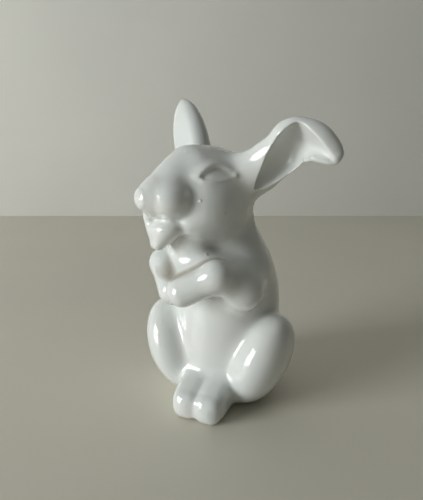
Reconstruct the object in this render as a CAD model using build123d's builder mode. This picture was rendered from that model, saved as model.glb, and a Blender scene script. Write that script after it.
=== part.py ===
from build123d import *
import os
from math import acos, degrees

os.makedirs("parts", exist_ok=True)

# Sitting porcelain rabbit, millimetres. It faces -Y, its left side is +X and z = 0 is the table.
# The body is wound to its own right: hips square, chest turned a little, head turned more.

# Cast walls and joints
wall = 3.0
slip = 0.10
vent_radius = 2.5
plate_thickness = 3.0

# Body, from the table to the top of the neck hidden inside the head
body_height = 86.0
body_width = 44.4
body_depth = 43.6
hip_shift = -1.4
chest_turn = 18.0
breast_width = 23.0
breast_height = 23.0
breast_depth = 20.0

# Head, measured from the middle of the skull
head_turn = 30.0
head_length = 46.6
head_width = 31.2
head_height = 34.8
cheek_radius = 11.0
pad_radius = 6.2
nose_radius = 4.2
lid_length = 12.0

# Lower jaw
jaw_width = 17.6
jaw_depth = 10.0

# Ears
right_ear_length = 37.0
right_ear_width = 17.0
right_ear_thickness = 13.0
left_ear_length = 45.0
left_ear_width = 18.4
left_ear_thickness = 12.6

# Limbs
shoulder_radius = 9.5
elbow_radius = 7.2
wrist_radius = 5.8
paw_radius = 6.0
haunch_width = 21.6
haunch_depth = 30.0
haunch_height = 40.0
foot_length = 32.4
foot_width = 10.8
foot_height = 15.6
tail_width = 14.0
tail_height = 16.0


def facing(origin, turn):
    """Plane looking out of the rabbit: x to its left, y up, z forward, turned to its right."""
    return Plane(Location(origin, (0, 0, -turn)) * Plane.XZ.location)


def ellipse_loft(stations):
    """Solid through ellipses; a station is a plane, a centre on it and two half axes."""
    with BuildPart() as form:
        for plane, x, y, half_x, half_y in stations:
            with BuildSketch(plane):
                with BuildLine():
                    EllipticalCenterArc((x, y), half_x, half_y, 0, arc_size=180)
                    EllipticalCenterArc((x, y), half_x, half_y, 180, arc_size=180)
                make_face()
        loft()
    return form.part


def ellipsoid(plane, centre, half_x, half_y, half_z, tilt=(0, 0, 0)):
    """Ellipsoid set at a point of a plane's own space, tilted about its own axes."""
    with BuildPart() as form:
        Sphere(1.0)
        scale(by=(half_x, half_y, half_z))
    return (plane.location * Location(centre, tilt)) * form.part


def grown(half, grow):
    """Half axes made larger by an even amount."""
    return [value + grow for value in half]


def capsule(start, end, start_radius, end_radius, seam):
    """Round-ended tapered limb between two points, with its seam on the side named."""
    span = end - start
    length = span.length
    angle = degrees(acos((start_radius - end_radius) / length))
    with BuildPart() as form:
        with BuildSketch(Plane(origin=start, x_dir=span, z_dir=span.cross(seam))):
            with BuildLine():
                heel = CenterArc((0, 0), start_radius, angle, 180 - angle)
                toe = CenterArc((length, 0), end_radius, 0, angle)
                Line(heel @ 0, toe @ 1)
                Line(heel @ 1, toe @ 0)
            make_face()
        revolve(axis=Axis(start, span))
    return form.part


# Torso sections, all as shares: height, shift to the left, shift back, width, depth
torso_rows = (
    (0.000, 0.000, 0.101, 0.840, 0.840),
    (0.093, 0.000, 0.115, 1.020, 1.030),
    (0.233, 0.000, 0.115, 1.050, 1.050),
    (0.395, 0.009, 0.115, 1.000, 1.020),
    (0.558, 0.018, 0.124, 0.920, 0.960),
    (0.698, 0.009, 0.096, 0.775, 0.810),
    (0.814, -0.018, 0.046, 0.625, 0.645),
    (0.907, -0.041, 0.011, 0.540, 0.555),
    (1.000, -0.063, -0.034, 0.490, 0.500),
)


def torso_form(grow, low=0.0):
    """Solid torso and neck, grown or shrunk evenly, with its foot moved down by low."""
    stations = []
    for share, shift, back, width, depth in torso_rows:
        z = share * body_height - (low if share == 0 else 0)
        half_x = width * body_width / 2 + grow
        half_y = depth * body_depth / 2 + grow
        x = hip_shift + shift * body_width
        stations.append((Plane.XY.offset(z), x, back * body_depth, half_x, half_y))
    return ellipse_loft(stations)


chest_space = facing((hip_shift + 0.005 * body_width, 0.087 * body_depth, 0), chest_turn)


def body_form(grow):
    """Solid torso with the full breast that rises to the throat."""
    breast = (-0.09 * body_width, 0.715 * body_height, 0.31 * body_depth)
    breast_half = (breast_width / 2, breast_height / 2, breast_depth / 2)
    with BuildPart() as form:
        add(torso_form(grow))
        add(ellipsoid(chest_space, breast, *grown(breast_half, grow)))
    return form.part


head_centre = (hip_shift - 0.101 * body_width, -0.183 * body_depth, 0.977 * body_height)
head_space = facing(head_centre, head_turn)

# Head sections, all as shares: place along the length, rise, width, height
head_rows = (
    (-0.416, 0.129, 0.130, 0.120),
    (-0.365, 0.121, 0.510, 0.490),
    (-0.236, 0.069, 0.850, 0.830),
    (-0.064, 0.037, 1.000, 0.990),
    (0.086, 0.040, 0.985, 0.960),
    (0.215, 0.086, 0.780, 0.820),
    (0.343, 0.086, 0.560, 0.610),
    (0.451, 0.034, 0.470, 0.450),
    (0.525, 0.006, 0.360, 0.320),
    (0.579, 0.006, 0.150, 0.140),
)


def head_loft(grow, first, last):
    """Skull and muzzle between two of the head's sections."""
    stations = []
    for place, rise, width, height in head_rows[first:last]:
        half_x = width * head_width / 2 + grow
        half_y = height * head_height / 2 + grow
        level = head_space.offset(place * head_length)
        stations.append((level, 0, rise * head_height, half_x, half_y))
    return ellipse_loft(stations)


cheek_place = (0.256 * head_width, -0.172 * head_height, 0.064 * head_length)
pad_place = (0.141 * head_width, -0.045 * head_height, 0.395 * head_length)
nose_place = (0, 0.02 * head_height, 0.528 * head_length)
lid_place = (0.391 * head_width, 0.244 * head_height, 0.043 * head_length)
mouth_place = (0, -0.26 * head_height, 0.43 * head_length)
cheek_half = (0.73 * cheek_radius, cheek_radius, cheek_radius)
pad_half = (0.9 * pad_radius, pad_radius, 1.12 * pad_radius)
lid_half = (0.217 * lid_length, lid_length / 4, lid_length / 2)
nose_half = (1.05 * nose_radius, nose_radius, 0.9 * nose_radius)


def head_form(grow):
    """Skull, muzzle, cheeks, whisker pads, eyelids and nose as one solid."""
    with BuildPart() as form:
        add(head_loft(grow, 0, len(head_rows)))
        for side in (-1, 1):
            cheek = (side * cheek_place[0], cheek_place[1], cheek_place[2])
            add(ellipsoid(head_space, cheek, *grown(cheek_half, grow)))
            pad = (side * pad_place[0], pad_place[1], pad_place[2])
            add(ellipsoid(head_space, pad, *grown(pad_half, grow)))
            lid = (side * lid_place[0], lid_place[1], lid_place[2])
            add(ellipsoid(head_space, lid, *grown(lid_half, grow)))
        add(ellipsoid(head_space, nose_place, *grown(nose_half, grow)))
    return form.part


# Lower jaw sections, all as shares: drop, place along the head, width, and half length over the drop
jaw_rows = (
    (0.00, 0.296, 1.00, 0.92),
    (0.31, 0.330, 0.86, 0.78),
    (0.61, 0.387, 0.50, 0.48),
    (0.86, 0.427, 0.27, 0.27),
    (1.00, 0.435, 0.13, 0.13),
)
lip_level = 0.241 * head_height
jaw_space = Plane(head_space.origin, x_dir=head_space.x_dir, z_dir=-head_space.y_dir)


def jaw_form():
    """Wedge of the lower jaw, from the lip down to the chin."""
    stations = []
    for share, place, width, reach in jaw_rows:
        level = jaw_space.offset(lip_level + share * jaw_depth)
        stations.append((level, 0, place * head_length, width * jaw_width / 2, reach * jaw_depth))
    return ellipse_loft(stations)


def ear_plane(origin, along, normal):
    """Plane across an ear: x over its width, y out of its hollow face, z along it."""
    across = normal.cross(along)
    return Plane(origin, x_dir=across, z_dir=along)


def in_head(left, up, forward):
    """Point or direction of the head's space as a world vector."""
    x_part = head_space.x_dir * left
    y_part = head_space.y_dir * up
    return x_part + y_part + head_space.z_dir * forward


# Upright right ear: share of the length, share of the width and thickness
right_ear_rows = (
    (-0.06, 0.66, 0.80),
    (0.17, 0.87, 0.98),
    (0.38, 1.00, 1.00),
    (0.58, 0.97, 0.92),
    (0.77, 0.79, 0.74),
    (0.90, 0.53, 0.50),
    (0.96, 0.30, 0.30),
    (1.00, 0.10, 0.12),
)
right_root = head_space.origin + in_head(-0.44 * head_width, 0.135 * head_height, -0.125 * head_length)
right_ear_space = ear_plane(right_root, in_head(-0.446, 0.892, -0.08), in_head(0.2, 0, 1))


def right_ear_form():
    """Tapering blade of the upright ear, still solid."""
    stations = []
    for share, width, thickness in right_ear_rows:
        level = right_ear_space.offset(share * right_ear_length)
        stations.append((level, 0, 0, width * right_ear_width / 2, thickness * right_ear_thickness / 2))
    return ellipse_loft(stations)


# Swept left ear: points of its middle line from the root, as shares of its length
left_ear_points = (
    (0.000, 0.000, 0.000),
    (0.156, 0.133, -0.044),
    (0.333, 0.285, -0.100),
    (0.500, 0.380, -0.156),
    (0.626, 0.375, -0.204),
    (0.722, 0.312, -0.240),
    (0.788, 0.235, -0.260),
)
left_root = head_space.origin + in_head(0.26 * head_width, 0.09 * head_height, -0.236 * head_length)
with BuildLine():
    left_ear_line = Spline([left_root + in_head(*point) * left_ear_length for point in left_ear_points])

# Place along the line, share of the width and thickness
left_ear_rows = (
    (0.00, 0.78, 0.87),
    (0.18, 0.82, 0.95),
    (0.38, 0.93, 1.00),
    (0.56, 0.97, 0.95),
    (0.73, 0.86, 0.84),
    (0.87, 0.68, 0.64),
    (0.95, 0.44, 0.42),
    (1.00, 0.16, 0.16),
)
# Place along the line, share of the width, share of the thickness cut away as the hollow
hollow_rows = (
    (0.12, 0.10, 0.08),
    (0.26, 0.48, 0.56),
    (0.42, 0.64, 0.78),
    (0.60, 0.60, 0.76),
    (0.76, 0.42, 0.56),
    (0.90, 0.10, 0.08),
)


def left_ear_plane(place):
    """Plane across the swept ear at a place along its middle line."""
    return ear_plane(left_ear_line @ place, left_ear_line % place, in_head(0.42, 0, 0.9))


def left_ear_form():
    """Swept ear, still solid."""
    stations = []
    for place, width, thickness in left_ear_rows:
        half_x = width * left_ear_width / 2
        half_y = thickness * left_ear_thickness / 2
        stations.append((left_ear_plane(place), 0, 0, half_x, half_y))
    return ellipse_loft(stations)


def left_ear_hollow():
    """Trough that opens the swept ear's front."""
    stations = []
    for place, width, depth in hollow_rows:
        half_x = width * left_ear_width / 2
        half_y = depth * left_ear_thickness / 2
        stations.append((left_ear_plane(place), 0, 0.45 * left_ear_thickness, half_x, half_y))
    return ellipse_loft(stations)


def in_chest(left, up, forward):
    """Point given as shares of the body's width, height and depth, in the turned chest."""
    local = (left * body_width, up * body_height, forward * body_depth)
    return chest_space.from_local_coords(Vector(local))


def arm_form(side, wrist, paw, grow):
    """Upper arm, forearm and drooping paw; side is 1 for the left arm and -1 for the right."""
    shoulder = in_chest(side * 0.254, 0.674, 0.073)
    elbow = in_chest(side * 0.356, 0.570, 0.257)
    outward = chest_space.x_dir * side + chest_space.z_dir * 0.4
    with BuildPart() as form:
        add(capsule(shoulder, elbow, shoulder_radius + grow, elbow_radius + grow, outward))
        add(capsule(elbow, wrist, elbow_radius - 2 * slip + grow, wrist_radius + grow, outward))
        add(capsule(wrist, paw, wrist_radius - 2 * slip + grow, paw_radius + grow, chest_space.z_dir))
    return form.part


left_wrist = in_chest(0.327, 0.669, 0.532)
left_paw = in_chest(0.120, 0.572, 0.665)
right_wrist = in_chest(-0.261, 0.672, 0.555)
right_paw = in_chest(-0.045, 0.560, 0.665)


def haunch_form(side, grow):
    """Thigh leaning out and back; side is 1 for the left one."""
    centre = Vector(hip_shift + side * 0.435 * body_width, -0.183 * haunch_depth, 0.475 * haunch_height)
    lean = Plane(centre, x_dir=(side * 0.9205, -0.0476, -0.3878), z_dir=(side * 0.391, 0.112, 0.9136))
    half = (haunch_width / 2, haunch_depth / 2, haunch_height / 2)
    return ellipsoid(lean, (0, 0, 0), *grown(half, grow))


block = 4 * body_height


def above_table():
    """Block that keeps what stands over the table."""
    with BuildPart() as form:
        Box(block, block, block, align=(Align.CENTER, Align.CENTER, Align.MIN))
    return form.part


body_tool = body_form(slip)
head_tool = head_form(slip)
table_keep = above_table()

# The castings
with BuildPart() as torso_shell:
    add(body_form(0))
    add(torso_form(-wall, slip), mode=Mode.SUBTRACT)
    add(head_tool, mode=Mode.SUBTRACT)
torso_shell.part.label = "torso_shell"
export_step(torso_shell.part, "parts/torso_shell.step")

with BuildPart() as base_plate:
    with BuildSketch(Plane.XY):
        plate_back = torso_rows[0][2] * body_depth
        with Locations((hip_shift, plate_back)):
            plate_half_x = torso_rows[0][3] * body_width / 2 - wall - slip
            plate_half_y = torso_rows[0][4] * body_depth / 2 - wall - slip
            Ellipse(plate_half_x, plate_half_y)
    extrude(amount=plate_thickness)
    with Locations((hip_shift, plate_back + plate_half_y / 2, 0)):
        Hole(vent_radius)
base_plate.part.label = "base_plate"
export_step(base_plate.part, "parts/base_plate.step")

with BuildPart() as head_shell:
    add(head_form(0))
    for side in (-1, 1):
        slit = (side * (lid_place[0] + 0.183 * lid_length), lid_place[1], lid_place[2])
        slit_half = (0.133 * lid_length, 0.042 * lid_length, 0.430 * lid_length)
        add(ellipsoid(head_space, slit, *slit_half), mode=Mode.SUBTRACT)
    mouth_half = (0.208 * head_width, 0.092 * head_height, 0.182 * head_length)
    add(ellipsoid(head_space, mouth_place, *mouth_half), mode=Mode.SUBTRACT)
    add(head_loft(-wall, 1, 6), mode=Mode.SUBTRACT)
    with Locations((hip_shift - 0.036 * body_width, 0, 0.837 * body_height)):
        Cylinder(vent_radius, 0.186 * body_height, mode=Mode.SUBTRACT)
head_shell.part.label = "head_shell"
export_step(head_shell.part, "parts/head_shell.step")

with BuildPart() as lower_jaw:
    add(jaw_form())
    scoop = (0, -lip_level, 0.34 * head_length)
    scoop_half = (0.32 * jaw_width, 0.28 * jaw_depth, 0.76 * jaw_depth)
    add(ellipsoid(head_space, scoop, *scoop_half), mode=Mode.SUBTRACT)
    add(head_tool, mode=Mode.SUBTRACT)
    add(body_tool, mode=Mode.SUBTRACT)
lower_jaw.part.label = "lower_jaw"
export_step(lower_jaw.part, "parts/lower_jaw.step")

with BuildPart() as right_ear:
    add(right_ear_form())
    hollow = (0, 0.57 * right_ear_thickness, 0.52 * right_ear_length)
    half = (0.32 * right_ear_width, 0.31 * right_ear_thickness, 0.40 * right_ear_length)
    add(ellipsoid(right_ear_space, hollow, *half), mode=Mode.SUBTRACT)
    add(head_tool, mode=Mode.SUBTRACT)
right_ear.part.label = "right_ear"
export_step(right_ear.part, "parts/right_ear.step")

with BuildPart() as left_ear:
    add(left_ear_form())
    add(left_ear_hollow(), mode=Mode.SUBTRACT)
    add(head_tool, mode=Mode.SUBTRACT)
left_ear.part.label = "left_ear"
export_step(left_ear.part, "parts/left_ear.step")

with BuildPart() as left_arm:
    add(arm_form(1, left_wrist, left_paw, 0))
    add(body_tool, mode=Mode.SUBTRACT)
left_arm.part.label = "left_arm"
export_step(left_arm.part, "parts/left_arm.step")

with BuildPart() as right_arm:
    add(arm_form(-1, right_wrist, right_paw, 0))
    add(body_tool, mode=Mode.SUBTRACT)
    add(arm_form(1, left_wrist, left_paw, slip), mode=Mode.SUBTRACT)
right_arm.part.label = "right_arm"
export_step(right_arm.part, "parts/right_arm.step")

with BuildPart() as left_haunch:
    add(haunch_form(1, 0))
    add(body_tool, mode=Mode.SUBTRACT)
    add(table_keep, mode=Mode.INTERSECT)
left_haunch.part.label = "left_haunch"
export_step(left_haunch.part, "parts/left_haunch.step")

with BuildPart() as right_haunch:
    add(haunch_form(-1, 0))
    add(body_tool, mode=Mode.SUBTRACT)
    add(table_keep, mode=Mode.INTERSECT)
right_haunch.part.label = "right_haunch"
export_step(right_haunch.part, "parts/right_haunch.step")


# Foot sections, all as shares: length, place to the side, place above the table, width, height
foot_rows = (
    (0.18, 0.52, 0.54, 1.02, 1.05),
    (0.42, 0.52, 0.49, 1.05, 1.00),
    (0.66, 0.50, 0.41, 1.03, 0.87),
    (0.84, 0.48, 0.34, 0.96, 0.72),
    (0.95, 0.46, 0.30, 0.72, 0.54),
    (1.00, 0.45, 0.29, 0.32, 0.26),
)
foot_space = facing((hip_shift + 0.074 * foot_width, 0, 0), 0)


def foot_form(side):
    """Foot lying forward from under the belly, trimmed at the groove between the two feet."""
    stations = []
    for share, aside, rise, width, height in foot_rows:
        level = foot_space.offset(share * foot_length)
        half_x = width * foot_width / 2
        half_y = height * foot_height / 2
        stations.append((level, side * aside * foot_width, rise * foot_height, half_x, half_y))
    with BuildPart() as form:
        add(ellipse_loft(stations))
        with Locations((foot_space.origin.X - side * (block - slip) / 2, 0, 0)):
            Box(block, block, block, mode=Mode.SUBTRACT)
        add(table_keep, mode=Mode.INTERSECT)
        add(body_tool, mode=Mode.SUBTRACT)
        add(haunch_form(side, slip), mode=Mode.SUBTRACT)
    return form.part


with BuildPart() as left_foot:
    add(foot_form(1))
left_foot.part.label = "left_foot"
export_step(left_foot.part, "parts/left_foot.step")

with BuildPart() as right_foot:
    add(foot_form(-1))
right_foot.part.label = "right_foot"
export_step(right_foot.part, "parts/right_foot.step")

with BuildPart() as tail:
    place = (hip_shift, 0.58 * body_depth, 0.75 * tail_height)
    add(ellipsoid(Plane.XY, place, tail_width / 2, 0.43 * tail_width, tail_height / 2))
    add(body_tool, mode=Mode.SUBTRACT)
tail.part.label = "tail"
export_step(tail.part, "parts/tail.step")
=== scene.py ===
"""Dresses the sitting porcelain rabbit: one glazed skin sculpted over its castings, bare clay under it."""
import logging
import math
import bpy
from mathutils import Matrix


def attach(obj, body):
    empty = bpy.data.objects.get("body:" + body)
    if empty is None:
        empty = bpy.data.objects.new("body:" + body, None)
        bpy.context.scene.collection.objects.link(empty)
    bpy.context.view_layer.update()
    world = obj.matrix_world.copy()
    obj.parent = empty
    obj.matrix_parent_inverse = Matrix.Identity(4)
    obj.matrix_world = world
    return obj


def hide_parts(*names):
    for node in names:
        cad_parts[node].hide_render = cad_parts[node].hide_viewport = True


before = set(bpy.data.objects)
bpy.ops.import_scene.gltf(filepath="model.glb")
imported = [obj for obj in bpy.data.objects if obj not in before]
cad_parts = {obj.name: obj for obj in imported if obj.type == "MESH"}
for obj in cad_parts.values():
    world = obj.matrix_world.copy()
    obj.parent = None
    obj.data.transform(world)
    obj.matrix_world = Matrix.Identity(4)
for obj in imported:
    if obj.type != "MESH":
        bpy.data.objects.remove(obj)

from concurrent.futures import ThreadPoolExecutor
from dataclasses import dataclass
from enum import Enum
from typing import Callable, Iterator

import bpy
import numpy as np
import openvdb
from mathutils import Vector

log = logging.getLogger("rabbit")

Array = np.ndarray
Pair = tuple[float, float]
Triple = tuple[float, float, float]
Rows = tuple[tuple[float, ...], ...]
# A ball's middle and radius; a lump's middle, half sizes and fillet; measured lumps with their fillets
Ball = tuple[Triple, float]
Lump = tuple[Triple, Triple, float]
Lumps = Iterator[tuple[Array, float | Array]]
# Points, sinking and width of a line of the eye
EyeLine = tuple[tuple[Pair, ...], float, float]
Facts = dict[str, Array]
Colour = tuple[float, float, float, float]
Socket = bpy.types.NodeSocket
Sockets = dict[str | int, object]

MILLIMETRE = 0.001
WORKERS = 4
# Beyond this distance from the ball round a casting, in millimetres, the ball stands for the casting
FAR = 14.0
# Added to what is divided by, so that it is never zero: to slopes, and to the lengths of vectors
TINY = 1e-6
FAINT = 1e-9
# More than any distance here, in millimetres
VAST = 1e6
# A corner whose score is nearer to zero than this counts as inside the cut
ON_LINE = np.float32(1e-4)
# Thinnest half size of a section, in millimetres
THINNEST = 0.3
# How far left of the head's middle an eye begins, and how far it takes to fade in, in millimetres
EYE_START = 4.0
EYE_FADE = 4.0


class Side(Enum):
    """The rabbit's own right and left."""

    RIGHT = -1
    LEFT = 1


class Slot(Enum):
    """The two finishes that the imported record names."""

    GLAZE = "glaze"
    BISCUIT = "biscuit"


def row(*values: float) -> Array:
    """Returns a few numbers as a small array of singles."""
    return np.array(values, np.float32)


def length(points: Array) -> Array:
    """Returns the length of each vector in a list of them."""
    return np.sqrt((points * points).sum(-1))


def unit(vectors: Array) -> Array:
    """Returns vectors that point the same ways and are 1 long."""
    return vectors / (length(vectors)[:, None] + FAINT)


def lattice(ticks: list[Array]) -> Array:
    """Returns every point of a lattice with some ticks along each of its three axes."""
    return np.stack(np.meshgrid(*ticks, indexing="ij"), -1).reshape(-1, 3).astype(np.float32)


def edges_of(faces: Array) -> Array:
    """Returns the three edges of each triangle as pairs of corner numbers."""
    return np.concatenate([faces[:, [0, 1]], faces[:, [1, 2]], faces[:, [2, 0]]])


def soft_join(first: Array, second: Array, blend: float | Array) -> Array:
    """Joins two distance fields with a fillet that reaches as far as the blend, in millimetres."""
    share = np.maximum(blend - np.abs(first - second), 0.0) / blend
    return np.minimum(first, second) - share * share * share * (blend / 6.0)


def soft_cut(first: Array, second: Array, blend: float) -> Array:
    """Keeps what both fields hold, with an edge rounded as far as the blend, in millimetres."""
    return -soft_join(-first, -second, blend)


def ellipsoid(points: Array, middle: Triple, half: Triple, axes: Array | None = None) -> Array:
    """Measures the distance to an ellipsoid.

    Args:
        points: Where to measure.
        middle: Its middle.
        half: Its three half axes.
        axes: Its own axes as columns, if it is tilted.

    Returns:
        One distance for each point.
    """
    local = points - row(*middle)
    if axes is not None:
        local = local @ axes.astype(np.float32)
    size = row(*half)
    ratio = length(local / size)
    slope = length(local / (size * size)) + TINY
    return ratio * (ratio - 1.0) / slope


def add_lump(form: Array, points: Array, lump: Lump) -> Array:
    """Joins an ellipsoid, given as its middle, half sizes and fillet, to a form."""
    middle, half, blend = lump
    return soft_join(form, ellipsoid(points, middle, half), blend)


def limb(points: Array, start: Triple, end: Triple, start_radius: float, end_radius: float) -> Array:
    """Measures the distance to a round-ended limb that tapers.

    Args:
        points: Where to measure.
        start: Middle of the first end.
        end: Middle of the other end.
        start_radius: Radius of the first end.
        end_radius: Radius of the other end.

    Returns:
        One distance for each point.
    """
    span = row(*end) - row(*start)
    square = float(span @ span)
    taper = start_radius - end_radius
    flank = square - taper * taper
    local = points - row(*start)
    along = local @ span
    past = along - square
    aside = ((local * square - along[:, None] * span) ** 2).sum(-1)
    along_square = along * along * square
    past_square = past * past * square
    edge = np.sign(taper) * taper * taper * aside
    result = (np.sqrt(np.maximum(aside * flank / square, 0)) + along * taper) / square - start_radius
    before = np.sign(along) * flank * along_square < edge
    beyond = np.sign(past) * flank * past_square > edge
    result = np.where(before, np.sqrt(aside + along_square) / square - start_radius, result)
    return np.where(beyond, np.sqrt(aside + past_square) / square - end_radius, result)


def thread(points: Array, line: tuple[Triple, ...], radius: float, steps: int = 12) -> Array:
    """Measures the distance to a thin round bead laid along a bent line.

    Args:
        points: Where to measure.
        line: Start, handle and end of the line.
        radius: Radius of the bead.
        steps: Straight runs that stand for the line.

    Returns:
        One distance for each point.
    """
    start, handle, end = (np.array(p, float) for p in line)
    shares = np.linspace(0.0, 1.0, steps + 1)
    knots = [(1 - s) ** 2 * start + 2 * s * (1 - s) * handle + s * s * end for s in shares]
    best = np.full(len(points), VAST, np.float32)
    for first, second in zip(knots[:-1], knots[1:]):
        span = (second - first).astype(np.float32)
        local = points - first.astype(np.float32)
        share = np.clip((local @ span) / float(span @ span), 0, 1)
        best = np.minimum(best, length(local - share[:, None] * span))
    return best - radius


def relief(points: Array, line: tuple[Pair, ...], width: float, steps: int = 12) -> Array:
    """Draws a soft line on the side of the head, seen from the side.

    Args:
        points: Where to read it, as left, forward and up.
        line: Start, handle and end of the line, as forward and up.
        width: How far the line reaches to each side, in millimetres.
        steps: Straight runs that stand for the line.

    Returns:
        1 on the line, fading to 0 beside it and towards the other side of the head.
    """
    flat = tuple((0.0, forward, up) for forward, up in line)
    gap = thread(points * row(0, 1, 1), flat, 0.0, steps)
    near_side = np.clip((points[:, 0] - EYE_START) / EYE_FADE, 0.0, 1.0)
    return np.exp(-((gap / width) ** 2)) * near_side


def smooth_through(places: Array, known: Array, values: Array) -> Array:
    """Draws a smooth curve through known values.

    Args:
        places: Where to read the curve.
        known: Places of the known values, rising.
        values: The known values.

    Returns:
        The curve's value at each place.
    """
    gaps = np.diff(known)
    rises = np.diff(values) / gaps
    slopes = np.empty_like(values)
    slopes[0], slopes[-1] = rises[0], rises[-1]
    slopes[1:-1] = (rises[:-1] * gaps[1:] + rises[1:] * gaps[:-1]) / (gaps[1:] + gaps[:-1])
    run = np.clip(np.searchsorted(known, places) - 1, 0, len(gaps) - 1)
    gap = gaps[run]
    t = (places - known[run]) / gap
    near = (2 * t**3 - 3 * t**2 + 1) * values[run] + (t**3 - 2 * t**2 + t) * gap * slopes[run]
    return near + (3 * t**2 - 2 * t**3) * values[run + 1] + (t**3 - t**2) * gap * slopes[run + 1]


def section(u: Array, v: Array, half_u: Array, half_v: Array, power: float = 2.0) -> Array:
    """Measures the distance to a section: an ellipse, or a squarer oval for a higher power.

    Args:
        u: Places across the section.
        v: Places up the section.
        half_u: Half widths.
        half_v: Half heights.
        power: 2 for an ellipse, more for a squarer oval.

    Returns:
        One distance for each place.
    """
    a = np.abs(u) / half_u
    b = np.abs(v) / half_v
    if power == 2.0:
        ratio = np.sqrt(a * a + b * b) + TINY
        slope = np.sqrt((a / half_u) ** 2 + (b / half_v) ** 2) / ratio + TINY
    else:
        ratio = (a**power + b**power) ** (1.0 / power) + TINY
        steep = np.sqrt((a ** (power - 1) / half_u) ** 2 + (b ** (power - 1) / half_v) ** 2)
        slope = ratio ** (1.0 - power) * steep + TINY
    return (ratio - 1.0) / slope


class Loft:
    """A form through oval sections set along a straight line."""

    STATIONS = 200

    def __init__(self, rows: Rows, end_blend: float = 1.0, power: float = 2.0) -> None:
        """Works the sections out along the line.

        Args:
            rows: Place along the line, two shifts of the middle and two half sizes.
            end_blend: Rounding at the two ends, in millimetres.
            power: 2 for ellipses, more for squarer ovals.
        """
        table = np.array(rows, float)
        self.first, self.last = table[0, 0], table[-1, 0]
        self.end_blend = end_blend
        self.power = power
        self.places = np.linspace(self.first, self.last, self.STATIONS)
        self.curves = [smooth_through(self.places, table[:, 0], table[:, i]) for i in range(1, 5)]
        self.curves[2:] = [np.maximum(curve, THINNEST) for curve in self.curves[2:]]
        taper = np.gradient(0.5 * (self.curves[2] + self.curves[3]), self.places)
        self.lean = np.sqrt(1 + taper**2)

    def distance(self, along: Array, across: Array, up: Array) -> Array:
        """Measures the distance to the form.

        Args:
            along: Places along the line.
            across: Places across it.
            up: Places up from it.

        Returns:
            One distance for each place.
        """
        read = [np.interp(along, self.places, curve).astype(np.float32) for curve in self.curves]
        lean = np.interp(along, self.places, self.lean).astype(np.float32)
        side = section(across - read[0], up - read[1], read[2], read[3], self.power) / lean
        end = np.maximum(self.first - along, along - self.last).astype(np.float32)
        return soft_cut(side, end, self.end_blend)


@dataclass(frozen=True)
class Space:
    """A place in the rabbit with its own left, forward and up, turned to the rabbit's right."""

    origin: Triple
    turn: float = 0.0

    def enter(self, points: Array) -> Array:
        """Turns points of the frame into the place's own.

        Args:
            points: Points in millimetres.

        Returns:
            The same points as left, forward and up.
        """
        angle = math.radians(self.turn)
        local = points - row(*self.origin)
        left = local[:, 0] * math.cos(angle) - local[:, 1] * math.sin(angle)
        forward = -local[:, 0] * math.sin(angle) - local[:, 1] * math.cos(angle)
        return np.stack([left, forward, local[:, 2]], 1).astype(np.float32)


def set_down(name: str, data: bpy.types.ID) -> bpy.types.Object:
    """Puts a mesh, a lamp or a camera into the scene.

    Args:
        name: The new object's name.
        data: What it holds.

    Returns:
        The new object.
    """
    item = bpy.data.objects.new(name, data)
    bpy.context.scene.collection.objects.link(item)
    return item


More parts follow.
